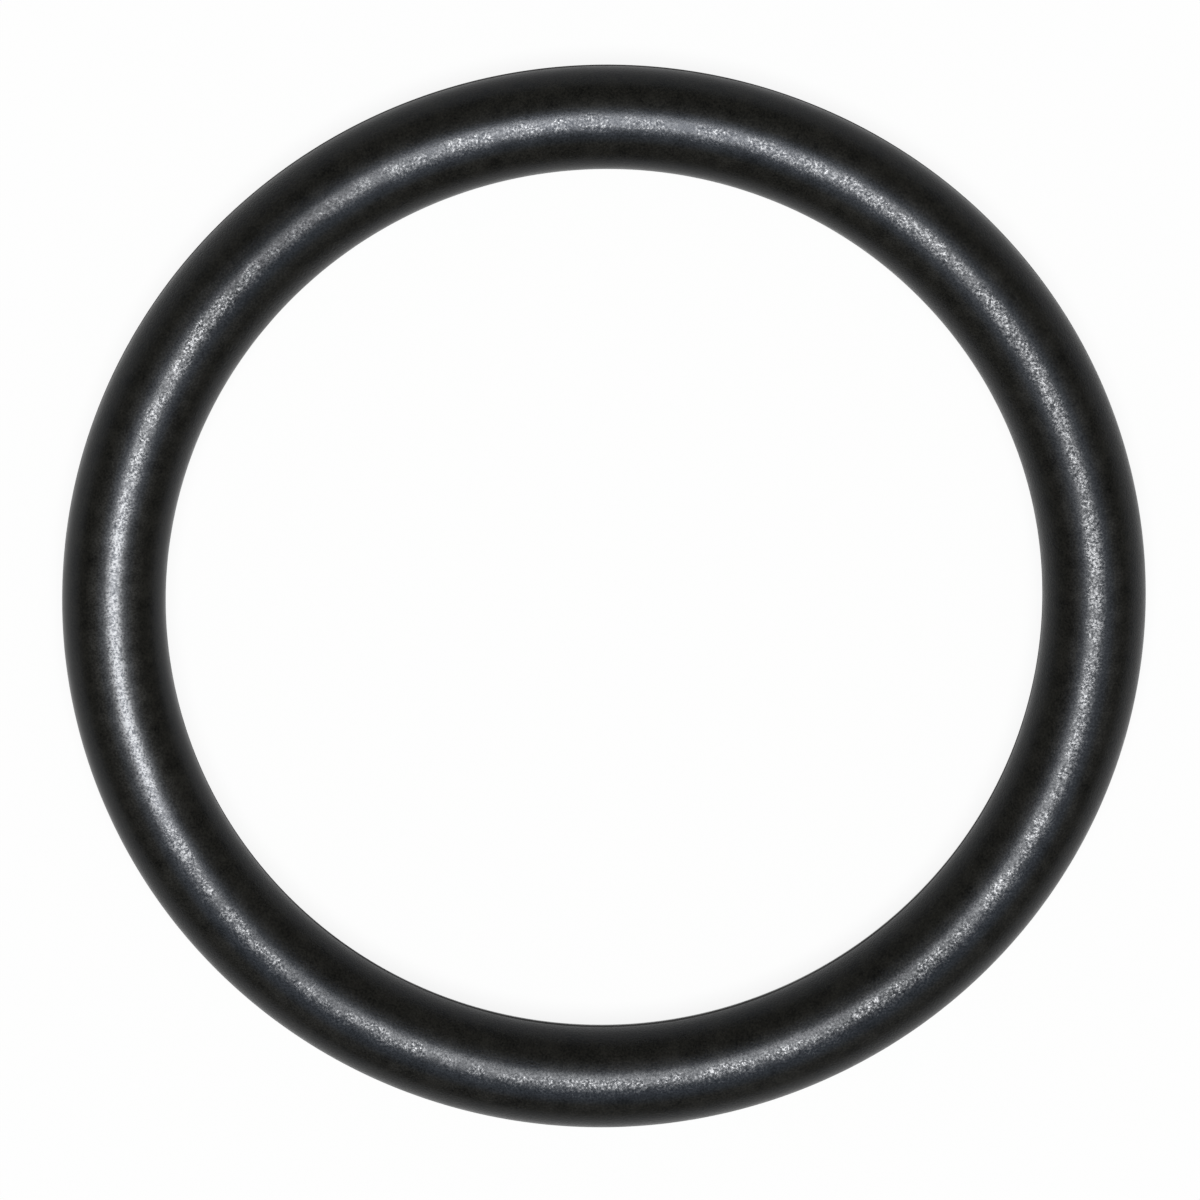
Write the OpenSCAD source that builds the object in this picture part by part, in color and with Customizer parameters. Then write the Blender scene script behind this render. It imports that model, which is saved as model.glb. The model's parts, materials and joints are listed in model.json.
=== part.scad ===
// Rubber O-ring: a round cord of rubber closed into a ring and moulded in one piece.
// It lies flat. Its axis is Z, and the plane where the two mould halves met is Z = 0.

/* [Ring] */
// Inside diameter, across the trimmed lands of the bore
inside_d = 30; // [6:0.5:150]
// Diameter of the round section
section_d = 3.55; // [1.5:0.05:7]

/* [Parting line] */
// Height of the narrow land where the mould flash is trimmed off flush
land_h = 0.2; // [0.1:0.05:0.5]

/* [Hidden] */
$fn = 128;

// Distance from the middle of the section to the land that trims it
land_reach = sqrt(pow(section_d / 2, 2) - pow(land_h / 2, 2));
// Radius of the circle that the middle of the section runs along
centre_r = inside_d / 2 + land_reach;

// The moulded section: a full circle, trimmed flat where each land lies
module ring_section() {
    intersection() {
        circle(d = section_d);
        square([2 * land_reach, section_d], center = true);
    }
}

// The whole ring: the section carried once round the axis
module o_ring() {
    color("#1d1d1c")
        rotate_extrude()
            translate([centre_r, 0])
                ring_section();
}

o_ring();
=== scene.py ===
# A black rubber O-ring lying flat on white paper, seen from almost straight above.
import json
import math

import bmesh
import bpy
from mathutils import Matrix, Vector, noise


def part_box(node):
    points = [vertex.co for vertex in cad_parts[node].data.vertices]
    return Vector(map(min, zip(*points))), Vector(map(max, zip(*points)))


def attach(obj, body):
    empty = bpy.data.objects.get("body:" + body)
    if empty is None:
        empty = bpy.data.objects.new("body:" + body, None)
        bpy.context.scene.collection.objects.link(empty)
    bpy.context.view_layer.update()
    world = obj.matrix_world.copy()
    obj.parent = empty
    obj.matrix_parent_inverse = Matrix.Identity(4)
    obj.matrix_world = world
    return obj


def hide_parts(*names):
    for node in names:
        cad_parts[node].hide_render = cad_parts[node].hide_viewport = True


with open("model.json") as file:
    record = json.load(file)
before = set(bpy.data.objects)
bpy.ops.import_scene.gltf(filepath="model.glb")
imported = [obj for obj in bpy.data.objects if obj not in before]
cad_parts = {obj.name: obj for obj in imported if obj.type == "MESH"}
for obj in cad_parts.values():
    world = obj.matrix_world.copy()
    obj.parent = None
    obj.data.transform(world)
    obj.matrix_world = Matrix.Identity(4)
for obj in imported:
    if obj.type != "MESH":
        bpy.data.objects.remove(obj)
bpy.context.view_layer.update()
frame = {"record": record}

MM = 0.001

# Sizes of the ring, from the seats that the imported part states
seats = {mount["name"]: mount["dims"] for mount in frame["record"]["mounts"]}
bore_r = seats["inner_seat"]["r_mm"] * MM
rim_r = seats["outer_seat"]["r_mm"] * MM
land_h = seats["inner_seat"]["length_mm"] * MM
centre_r = (rim_r + bore_r) / 2
land_reach = (rim_r - bore_r) / 2
section_r = math.hypot(land_reach, land_h / 2)
low_corner, high_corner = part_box("o_ring")
section_top = high_corner.z
floor_z = low_corner.z

# How finely the ring is meshed
STATIONS_ROUND = 640
ROWS_ON_ARC = 40
ROWS_ON_LAND = 2

# How far the moulding departs from a true ring, always inwards, and how long its waves are
SECTION_WAVER = 0.006 * MM
SECTION_WAVE = 5 * MM
LAND_WAVER = 0.05 * MM
LAND_WAVE = 3 * MM

# The strips in which the ring's skin is laid out flat, and the margin round each
SKIN_STRIPS = 3
SKIN_MARGIN = 0.01

# Where the photograph was taken from: the axis of the lens, the side of the ring nearer to it,
# and the distance, in radii of the circle that the middle of the section runs along
LENS_TILT = math.radians(12.11)
NEAR_SIDE = math.radians(98.48)
LENS_DISTANCE = 22.90
PICTURE_PX = 1200
RADIUS_PX = 490.26
CENTRE_PX = (4.63, -0.75)
SENSOR_MM = 36

# The softbox: its direction off the lens axis, its distance, its half width and half length as seen
# from the ring, and its share of plain daylight level
SOFTBOX_OFF_LENS = (0.011, -0.208)
SOFTBOX_AWAY = 1.5
SOFTBOX_HALF = (0.28, 0.25)
SOFTBOX_SHARE = 1.08
SOFTBOX_COLOUR = "#fcfdff"
FILL_SHARE = 0.12

# The paper: the colour that the lamp lights, the share of white that it has as a background,
# how far it reaches, and how high its rim stands
PAPER_LIT = "#535352"
PAPER_GLOW = 0.895
PAPER_REACH = 1.9
PAPER_RIM = 0.08

# Round the ring, how much wax bloom lies on the crown and how deep the mould's grain is: what each is
# over most of the ring, and the stretches where it differs, as middle and half width in degrees and change
BLOOM = 0.20
BLOOM_STRETCHES = [
    (186, 20, 0.30), (180, 34, 0.27), (5, 18, 0.06), (5, 39, 0.15), (55, 13, 0.09), (95, 24, 0.04),
    (134, 10, -0.05), (250, 12, 0.04), (292, 8, 0.03), (306, 9, -0.03),
]
GRAIN = 1.0
GRAIN_STRETCHES = [(187, 24, -0.95), (86, 30, -0.55), (22, 20, 0.2), (135, 13, 0.6), (307, 10, 0.5)]
# The bloom's flecks stand out more where the grain is deeper, but they are soft in this stretch
FLECK_STRETCHES = [(126, 11, -0.50)]

# How high on the section, as a share of its radius, the bloom, its flecks and its blue film (the wax's own
# tint with a painted bluish sheen) begin and are full, and how far the patches make the first two wander up
# and down
BLOOM_EDGE = (0.83, 0.965)
FLECK_EDGE = (0.977, 0.994)
FILM_AND_SHEEN_EDGE = (0.92, 0.99)
WANDER = 0.08
# How strongly the flecks stand out beside the crown and on it
FLECK_CONTRAST = (3.0, 8.8)

# Real sizes of the patterns. The grain of a blasted mould is finer than a picture of the whole ring
# can show, so it is drawn as coarse as it needs to show
GRAIN_CELL = 0.075 * MM
GRAIN_RELIEF = 0.020 * MM
PATCH_CELL = 0.7 * MM
TEAR_HEIGHT = 0.03 * MM
TEAR_LENGTH = 0.3 * MM
TEAR_RELIEF = 0.010 * MM

# Nitrile rubber's IOR
RUBBER_IOR = 1.52


def linear(hex_colour):
    """An sRGB hex colour as linear RGBA."""
    channels = [int(hex_colour[i : i + 2], 16) / 255 for i in (1, 3, 5)]
    lit = [c / 12.92 if c <= 0.04045 else ((c + 0.055) / 1.055) ** 2.4 for c in channels]
    return (*lit, 1.0)


def add_node(tree, kind, settings=None, values=None, links=None, stops=()):
    """Adds one node, with its settings, its sockets' values, what feeds them and a ramp's two stops."""
    made = tree.nodes.new(kind)
    for name, value in (settings or {}).items():
        setattr(made, name, value)
    for socket, value in (values or {}).items():
        made.inputs[socket].default_value = value
    for socket, source in (links or {}).items():
        tree.links.new(source, made.inputs[socket])
    for i, (position, colour) in enumerate(stops):
        made.color_ramp.elements[i].position = position
        made.color_ramp.elements[i].color = linear(colour)
    return made


def new_material(name):
    """An empty node material and its tree."""
    material = bpy.data.materials.new(name)
    material.use_nodes = True
    material.node_tree.nodes.clear()
    return material, material.node_tree


def lens_frame():
    """The lens's right, up and backward directions in the ring's frame."""
    near = Vector((math.cos(NEAR_SIDE), math.sin(NEAR_SIDE), 0))
    beside = Vector((-math.sin(NEAR_SIDE), math.cos(NEAR_SIDE), 0))
    axis = Vector((0, 0, 1))
    back = near * math.sin(LENS_TILT) + axis * math.cos(LENS_TILT)
    towards = near * math.cos(LENS_TILT) - axis * math.sin(LENS_TILT)
    right = towards * math.cos(NEAR_SIDE) - beside * math.sin(NEAR_SIDE)
    up = towards * math.sin(NEAR_SIDE) + beside * math.cos(NEAR_SIDE)
    return right, up, back


def set_camera():
    """A long lens almost straight above the ring."""
    right, up, back = lens_frame()
    data = bpy.data.cameras.new("long_lens")
    data.sensor_width = SENSOR_MM
    data.lens = SENSOR_MM * RADIUS_PX * LENS_DISTANCE / PICTURE_PX
    data.clip_start = 0.01
    data.clip_end = 20
    camera = bpy.data.objects.new("long_lens", data)
    bpy.context.scene.collection.objects.link(camera)
    place = back * LENS_DISTANCE - right * (CENTRE_PX[0] / RADIUS_PX) - up * (CENTRE_PX[1] / RADIUS_PX)
    turn = Matrix((right, up, back)).transposed()
    camera.matrix_world = Matrix.Translation(place * centre_r) @ turn.to_4x4()
    bpy.context.scene.camera = camera


def set_light():
    """One softbox high above the ring, close to the lens, and a faint even fill."""
    right, up, back = lens_frame()
    towards = (back + right * SOFTBOX_OFF_LENS[0] + up * SOFTBOX_OFF_LENS[1]).normalized()
    beside = up.cross(towards).normalized()
    data = bpy.data.lights.new("softbox", "AREA")
    data.shape = "ELLIPSE"
    data.size = 2 * SOFTBOX_HALF[0] * SOFTBOX_AWAY
    data.size_y = 2 * SOFTBOX_HALF[1] * SOFTBOX_AWAY
    data.energy = SOFTBOX_SHARE * (math.pi * SOFTBOX_AWAY) ** 2
    data.color = linear(SOFTBOX_COLOUR)[:3]
    lamp = bpy.data.objects.new("softbox", data)
    bpy.context.scene.collection.objects.link(lamp)
    turn = Matrix((beside, towards.cross(beside), towards)).transposed()
    lamp.matrix_world = Matrix.Translation(towards * SOFTBOX_AWAY) @ turn.to_4x4()

    world = bpy.data.worlds.new("studio_fill")
    world.use_nodes = True
    tree = world.node_tree
    tree.nodes.clear()
    fill = add_node(
        tree, "ShaderNodeBackground", values={"Color": (1, 1, 1, 1), "Strength": FILL_SHARE}
    )
    add_node(tree, "ShaderNodeOutputWorld", links={"Surface": fill.outputs[0]})
    bpy.context.scene.world = world


def white_paper():
    """Matt white background paper. A part of its white comes from the lamp, so it keeps a soft shadow."""
    material, tree = new_material("white_paper")
    ray = add_node(tree, "ShaderNodeLightPath")
    seen = add_node(
        tree, "ShaderNodeMath", {"operation": "MAXIMUM"},
        links={0: ray.outputs["Is Camera Ray"], 1: ray.outputs["Is Glossy Ray"]},
    )
    seen = add_node(
        tree, "ShaderNodeMath", {"operation": "MAXIMUM"},
        links={0: seen.outputs[0], 1: ray.outputs["Is Transmission Ray"]},
    )
    lit = add_node(tree, "ShaderNodeBsdfDiffuse", values={"Color": linear(PAPER_LIT)})
    glow = add_node(tree, "ShaderNodeMath", {"operation": "MULTIPLY"}, {1: PAPER_GLOW}, {0: seen.outputs[0]})
    white = add_node(
        tree, "ShaderNodeEmission", values={"Color": (1, 1, 1, 1)}, links={"Strength": glow.outputs[0]}
    )
    both = add_node(tree, "ShaderNodeAddShader", links={0: lit.outputs[0], 1: white.outputs[0]})
    add_node(tree, "ShaderNodeOutputMaterial", links={"Surface": both.outputs[0]})
    return material


def lay_paper():
    """A wide flat sheet under the ring. Its rim stands up, so that it also fills a view from low down."""
    bm = bmesh.new()
    bmesh.ops.create_circle(
        bm, cap_ends=True, segments=96, radius=PAPER_REACH, matrix=Matrix.Translation((0, 0, floor_z))
    )
    rim = bmesh.ops.extrude_edge_only(bm, edges=bm.edges[:])
    raised = [part for part in rim["geom"] if isinstance(part, bmesh.types.BMVert)]
    bmesh.ops.translate(bm, verts=raised, vec=(0, 0, PAPER_RIM))
    mesh = bpy.data.meshes.new("paper")
    bm.to_mesh(mesh)
    bm.free()
    mesh.materials.append(white_paper())
    paper = bpy.data.objects.new("paper", mesh)
    bpy.context.scene.collection.objects.link(paper)


def moulded_nitrile():
    """Black nitrile rubber, pressed in a blasted steel mould, with a bloom of wax on its crown.
    The eye sees near black, a grainy neutral line of light in a smooth bluish haze, and smooth flanks."""
    material, tree = new_material("moulded_nitrile")
    place = add_node(tree, "ShaderNodeTexCoord").outputs["Object"]
    bloom, depth, sharp = (
        add_node(
            tree, "ShaderNodeAttribute", {"attribute_type": "GEOMETRY", "attribute_name": name}
        ).outputs["Fac"]
        for name in ("bloom", "grain", "fleck")
    )

    # Grain of the blasted mould, with finer cells in it
    grit = add_node(
        tree, "ShaderNodeTexNoise", {"noise_dimensions": "3D"},
        {"Scale": 1 / GRAIN_CELL, "Detail": 2.5, "Roughness": 0.7}, {"Vector": place},
    ).outputs[0]
    # Patches in which the bloom lies thicker or thinner
    patch = add_node(
        tree, "ShaderNodeTexNoise", {"noise_dimensions": "3D"},
        {"Scale": 1 / PATCH_CELL, "Detail": 2.0, "Roughness": 0.55}, {"Vector": place},
    ).outputs[0]

    # The bloom lies on the crown, above and below, and fades down the flanks. Its flecks stand out
    # most at the top of the crown. The patches make both edges ragged
    apart = add_node(tree, "ShaderNodeSeparateXYZ", links={0: place})
    height = add_node(tree, "ShaderNodeMath", {"operation": "ABSOLUTE"}, links={0: apart.outputs["Z"]})
    ragged = add_node(
        tree, "ShaderNodeMath", {"operation": "MULTIPLY_ADD"}, {1: WANDER * section_r},
        {0: patch, 2: height.outputs[0]},
    )
    bloom_low, bloom_full = ((share + WANDER / 2) * section_r for share in BLOOM_EDGE)
    crown = add_node(
        tree, "ShaderNodeMapRange", {"interpolation_type": "SMOOTHSTEP"},
        {"From Min": bloom_low, "From Max": bloom_full}, {"Value": ragged.outputs[0]},
    )
    fleck_low, fleck_full = ((share + WANDER / 2) * section_r for share in FLECK_EDGE)
    contrast = add_node(
        tree, "ShaderNodeMapRange", {"interpolation_type": "SMOOTHSTEP"},
        {
            "From Min": fleck_low,
            "From Max": fleck_full,
            "To Min": FLECK_CONTRAST[0],
            "To Max": FLECK_CONTRAST[1],
        },
        {"Value": ragged.outputs[0]},
    )

    # How thick the wax lies: the power of flecks and patches, taken down until its mean is about 1
    flecks = add_node(tree, "ShaderNodeMath", {"operation": "SUBTRACT"}, {1: 0.5}, {0: grit})
    flecks = add_node(
        tree, "ShaderNodeMath", {"operation": "MULTIPLY"}, links={0: flecks.outputs[0], 1: sharp}
    )
    power = add_node(
        tree, "ShaderNodeMath", {"operation": "MULTIPLY_ADD"}, {2: -0.82},
        {0: flecks.outputs[0], 1: contrast.outputs[0]},
    )
    power = add_node(
        tree, "ShaderNodeMath", {"operation": "MULTIPLY_ADD"}, {1: 1.2}, {0: patch, 2: power.outputs[0]}
    )
    thickness = add_node(tree, "ShaderNodeMath", {"operation": "EXPONENT"}, links={0: power.outputs[0]})
    wax = add_node(
        tree, "ShaderNodeMath", {"operation": "MULTIPLY", "use_clamp": True},
        links={0: bloom, 1: thickness.outputs[0]},
    )
    wax = add_node(
        tree, "ShaderNodeMath", {"operation": "MULTIPLY"}, links={0: wax.outputs[0], 1: crown.outputs[0]}
    )

    # Relief of the grain, deeper on the crown than on the flanks
    relief = add_node(tree, "ShaderNodeMath", {"operation": "MULTIPLY"}, links={0: grit, 1: depth})
    share = add_node(
        tree, "ShaderNodeMath", {"operation": "MULTIPLY_ADD"}, {1: 0.4, 2: 0.6}, {0: crown.outputs[0]}
    )
    relief = add_node(
        tree, "ShaderNodeMath", {"operation": "MULTIPLY"}, links={0: relief.outputs[0], 1: share.outputs[0]}
    )
    grain = add_node(
        tree, "ShaderNodeBump", values={"Strength": 1.0, "Distance": GRAIN_RELIEF},
        links={"Height": relief.outputs[0]},
    )

    # Smooth flanks, and a crown that is duller where its grain is deeper
    dull = add_node(tree, "ShaderNodeMath", {"operation": "MULTIPLY_ADD"}, {1: 0.30, 2: -0.12}, {0: depth})
    smooth = add_node(
        tree, "ShaderNodeMath", {"operation": "MULTIPLY_ADD"}, {1: 0.16, 2: 0.24}, {0: patch}
    )
    roughness = add_node(
        tree, "ShaderNodeMath", {"operation": "MULTIPLY_ADD"},
        links={0: dull.outputs[0], 1: crown.outputs[0], 2: smooth.outputs[0]},
    )

    # Carbon black is even: the pits of the grain are painted darker as shade, and the tone differs at random
    # in patches
    pit_shade_and_patches = add_node(
        tree, "ShaderNodeMath", {"operation": "MULTIPLY_ADD"}, {1: 0.5}, {0: patch, 2: grit}
    )
    black_with_pit_shade = add_node(
        tree, "ShaderNodeValToRGB", links={"Fac": pit_shade_and_patches.outputs[0]},
        stops=((0.5, "#0a0a08"), (0.95, "#24231f")),
    )
    # High on the crown, above and below, the colour turns lighter and bluer. This is partly the wax film's
    # own faint blue and partly a painted bluish sheen, which stands in for the haze beside the line of light
    film_and_sheen = add_node(
        tree, "ShaderNodeValToRGB", links={"Fac": pit_shade_and_patches.outputs[0]},
        stops=((0.5, "#0c0f11"), (0.95, "#272b30")),
    )
    film_and_sheen_mask = add_node(
        tree, "ShaderNodeMapRange", {"interpolation_type": "SMOOTHSTEP"},
        {"From Min": FILM_AND_SHEEN_EDGE[0] * section_r, "From Max": FILM_AND_SHEEN_EDGE[1] * section_r},
        {"Value": height.outputs[0]},
    )
    # 0 is the mix's factor, 6 and 7 are its two colours and 2 is the mixed colour
    colour = add_node(
        tree, "ShaderNodeMix", {"data_type": "RGBA"},
        links={0: film_and_sheen_mask.outputs[0], 6: black_with_pit_shade.outputs[0], 7: film_and_sheen.outputs[0]},
    )

    # The rubber's own gloss is weak, because its grain breaks it up. The wax is the coat: wax has an
    # IOR of about 1.45, raised here until a thin coat is as bright as the line of light on the ring
    rubber = add_node(
        tree, "ShaderNodeBsdfPrincipled",
        values={
            "IOR": RUBBER_IOR,
            "Specular IOR Level": 0.13,
            "Specular Tint": linear("#dce8ff"),
            "Coat IOR": 2.0,
            "Coat Roughness": 0.282,
        },
        links={
            "Base Color": colour.outputs[2],
            "Roughness": roughness.outputs[0],
            "Coat Weight": wax.outputs[0],
            "Normal": grain.outputs[0],
        },
    )
    add_node(tree, "ShaderNodeOutputMaterial", links={"Surface": rubber.outputs[0]})
    return material


def trimmed_nitrile():
    """The same rubber where the flash was cut off: a narrow matt land, finely torn along the cut."""
    material, tree = new_material("trimmed_nitrile")
    place = add_node(tree, "ShaderNodeTexCoord").outputs["Object"]
    along = add_node(
        tree, "ShaderNodeVectorMath", {"operation": "MULTIPLY"},
        {1: (1 / TEAR_LENGTH, 1 / TEAR_LENGTH, 1 / TEAR_HEIGHT)}, {0: place},
    )
    tears = add_node(
        tree, "ShaderNodeTexNoise", {"noise_dimensions": "3D"},
        {"Scale": 1.0, "Detail": 3.0, "Roughness": 0.6}, {"Vector": along.outputs[0]},
    ).outputs[0]
    colour = add_node(
        tree, "ShaderNodeValToRGB", links={"Fac": tears}, stops=((0.3, "#121212"), (0.7, "#1e1e1c"))
    )
    roughness = add_node(
        tree, "ShaderNodeMath", {"operation": "MULTIPLY_ADD"}, {1: 0.25, 2: 0.58}, {0: tears}
    )
    torn = add_node(
        tree, "ShaderNodeBump", values={"Strength": 1.0, "Distance": TEAR_RELIEF}, links={"Height": tears}
    )
    rubber = add_node(
        tree, "ShaderNodeBsdfPrincipled", values={"IOR": RUBBER_IOR, "Specular IOR Level": 0.115},
        links={
            "Base Color": colour.outputs[0],
            "Roughness": roughness.outputs[0],
            "Normal": torn.outputs[0],
        },
    )
    add_node(tree, "ShaderNodeOutputMaterial", links={"Surface": rubber.outputs[0]})
    return material


def section_rows(land_half):
    """The section from the middle of its underside, outwards and round: (across, up, on_land).
    across is measured from the middle of the section, up from the parting plane."""
    reach = math.sqrt(section_r**2 - land_half**2)
    start = math.asin(land_half / section_r)
    rows = []
    half_rows = ROWS_ON_ARC // 2

    def arc(first, last, count):
        for i in range(count):
            a = first + (last - first) * i / count
            rows.append((section_r * math.cos(a), section_top * math.sin(a), False))

    def land(side, first, last):
        for i in range(ROWS_ON_LAND):
            rows.append((side * reach, first + (last - first) * i / ROWS_ON_LAND, True))

    edge = section_top * math.sin(start)
    arc(-math.pi / 2, -start, half_rows)
    land(1, -edge, edge)
    arc(start, math.pi - start, ROWS_ON_ARC)
    land(-1, edge, -edge)
    arc(math.pi + start, 1.5 * math.pi, half_rows)
    return rows


def waver(x, y, z, size, seed):
    """A smooth value from 0 to 1 that wanders over about size metres."""
    return 0.5 + 0.5 * max(-1.0, min(1.0, noise.noise(Vector((x, y, z)) / size + Vector((seed, 0, 0)))))


def change_at(stretches, a):
    """The sum of the stretches' changes at the angle a."""
    total = 0
    for middle, half_width, change in stretches:
        off = (math.degrees(a) - middle + 180) % 360 - 180
        total += change * math.exp(-((off / half_width) ** 4))
    return total


def mould_stations(bm):
    """The section's points at each station round the ring, each with its bloom, grain and flecks."""
    bloom_layer = bm.verts.layers.float.new("bloom")
    grain_layer = bm.verts.layers.float.new("grain")
    fleck_layer = bm.verts.layers.float.new("fleck")
    stations = []
    for k in range(STATIONS_ROUND):
        a = 2 * math.pi * k / STATIONS_ROUND
        c, s = math.cos(a), math.sin(a)
        bloom = BLOOM + change_at(BLOOM_STRETCHES, a)
        grain = GRAIN + change_at(GRAIN_STRETCHES, a)
        fleck = 0.85 + 0.25 * grain + change_at(FLECK_STRETCHES, a)
        land_half = land_h / 2 + LAND_WAVER * waver(centre_r * c, centre_r * s, 0, LAND_WAVE, 11)
        station = []
        for across, up, on_land in section_rows(land_half):
            r = centre_r + across
            dip = 0 if on_land else SECTION_WAVER * waver(r * c, r * s, up, SECTION_WAVE, 3)
            kept = 1 - dip / section_r
            r = centre_r + across * kept
            vertex = bm.verts.new((r * c, r * s, up * kept))
            vertex[bloom_layer] = bloom
            vertex[grain_layer] = grain
            vertex[fleck_layer] = fleck
            station.append(vertex)
        stations.append(station)
    return stations


def skin_stations(bm, stations):
    """The ring's skin between the stations. Its lands have the second material."""
    on_land = [row[2] for row in section_rows(land_h / 2)]
    count = len(on_land)
    around = bm.loops.layers.uv.new("OFBake")
    inside = 1 - 2 * SKIN_MARGIN
    per_strip = STATIONS_ROUND / SKIN_STRIPS
    for k in range(STATIONS_ROUND):
        here, after = stations[k], stations[(k + 1) % STATIONS_ROUND]
        strip = int(k / per_strip)
        for i in range(count):
            j = (i + 1) % count
            face = bm.faces.new((here[i], after[i], after[j], here[j]))
            face.smooth = True
            face.material_index = 1 if on_land[i] else 0
            for loop, (dk, di) in zip(face.loops, ((0, 0), (1, 0), (1, 1), (0, 1))):
                along = SKIN_MARGIN + inside * min(1.0, (k + dk) / per_strip - strip)
                up = SKIN_MARGIN + inside * (i + di) / count
                loop[around].uv = (along, (strip + up) / SKIN_STRIPS)


def mould_ring():
    """The ring: the section carried round the axis, with the small unevenness of a moulding."""
    bm = bmesh.new()
    stations = mould_stations(bm)
    skin_stations(bm, stations)
    bm.normal_update()
    mesh = bpy.data.meshes.new("sealing_ring")
    bm.to_mesh(mesh)
    bm.free()
    mesh.materials.append(moulded_nitrile())
    mesh.materials.append(trimmed_nitrile())
    ring = bpy.data.objects.new("sealing_ring", mesh)
    bpy.context.scene.collection.objects.link(ring)
    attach(ring, "root")
    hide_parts("o_ring")


set_camera()
set_light()
lay_paper()
mould_ring()
bpy.context.scene.view_settings.view_transform = "Standard"
